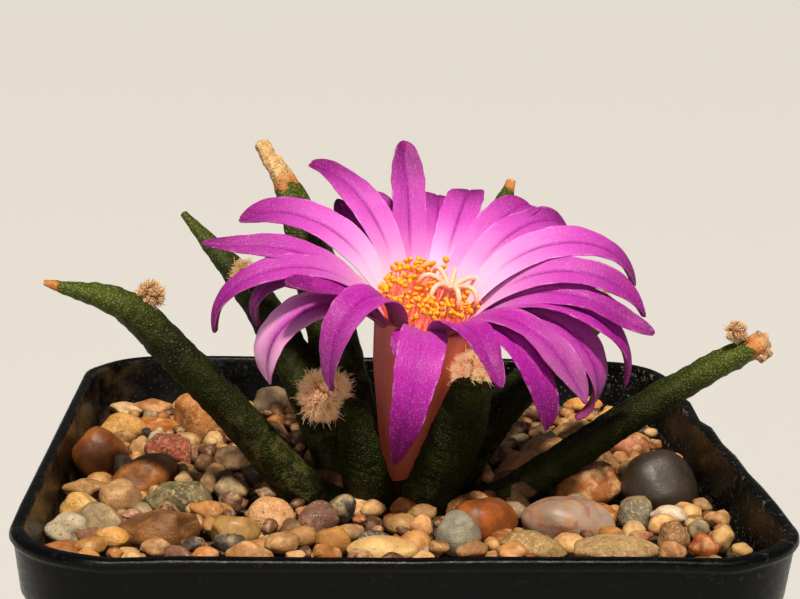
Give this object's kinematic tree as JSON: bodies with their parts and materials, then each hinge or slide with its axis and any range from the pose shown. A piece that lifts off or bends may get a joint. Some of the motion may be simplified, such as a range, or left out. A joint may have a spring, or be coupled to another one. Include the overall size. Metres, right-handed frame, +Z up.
{
  "type": "potted cactus in flower",
  "caption": "Finger-leaved living rock cactus with one open magenta flower, in a small square pot topped with river pebbles.",
  "frame": {"origin": "middle of the pot's flat underside", "axes": "+Z up, the plant's front towards -Y, its long right-hand tubercle towards +X"},
  "size_m": [0.073, 0.07, 0.0953],
  "materials": {
    "pot_plastic": "thin moulded plastic, scuffed and dusty",
    "compost": "loose potting compost",
    "gravel": "rolled river gravel",
    "brown_stone": "smooth, water-worn",
    "tan_stone": "water-worn, speckled",
    "cream_stone": "water-worn, chalky",
    "maroon_stone": "angular, matt",
    "grey_stone": "fine-grained, matt",
    "dark_stone": "smooth slate",
    "pale_stone": "slightly translucent quartz",
    "lilac_stone": "polished, with orange veins",
    "plant_flesh": "finely pebbled skin with a faint glisten",
    "areole_wool": "dense matted wool",
    "floral_tube": "smooth, fleshy",
    "petal": "satin, paler towards the throat",
    "anther": "powdery pollen",
    "stigma": "velvety"
  },
  "bodies": {
    "root": {"pot": "pot_plastic", "soil": "compost", "gravel_bed": "gravel", "stone_brown_left": "brown_stone", "stone_tan_wedge_back": "tan_stone", "stone_tan_back_left": "tan_stone", "stone_maroon": "maroon_stone", "stone_brown_glossy": "brown_stone", "stone_grey_green": "grey_stone", "stone_brown_grey_wedge": "brown_stone", "stone_pale_angular": "pale_stone", "stone_cream_left": "cream_stone", "stone_speckled": "cream_stone", "stone_yellow_square": "pale_stone", "stone_pink_cream": "cream_stone", "stone_purple_brown": "maroon_stone", "stone_ochre_long": "tan_stone", "stone_cream_long": "cream_stone", "stone_slate_small": "dark_stone", "stone_cream_mid": "cream_stone", "stone_blue_grey": "grey_stone", "stone_lilac_veined": "lilac_stone", "stone_grey_big": "dark_stone", "stone_orange_brown": "brown_stone", "stone_brown_mid": "brown_stone", "stone_grey_small": "grey_stone", "stone_brown_right": "brown_stone", "stone_tan_wedge_front": "tan_stone", "stone_tan_long_front": "tan_stone", "cactus_body": "plant_flesh", "wool_left": "areole_wool", "wool_rear_left": "areole_wool", "wool_front_left": "areole_wool", "wool_front_right": "areole_wool", "wool_right": "areole_wool", "wool_far_right": "areole_wool", "flower_tube": "floral_tube", "flower_petals": "petal", "stamens": "anther", "pistil": "stigma"}
  },
  "joints": []
}
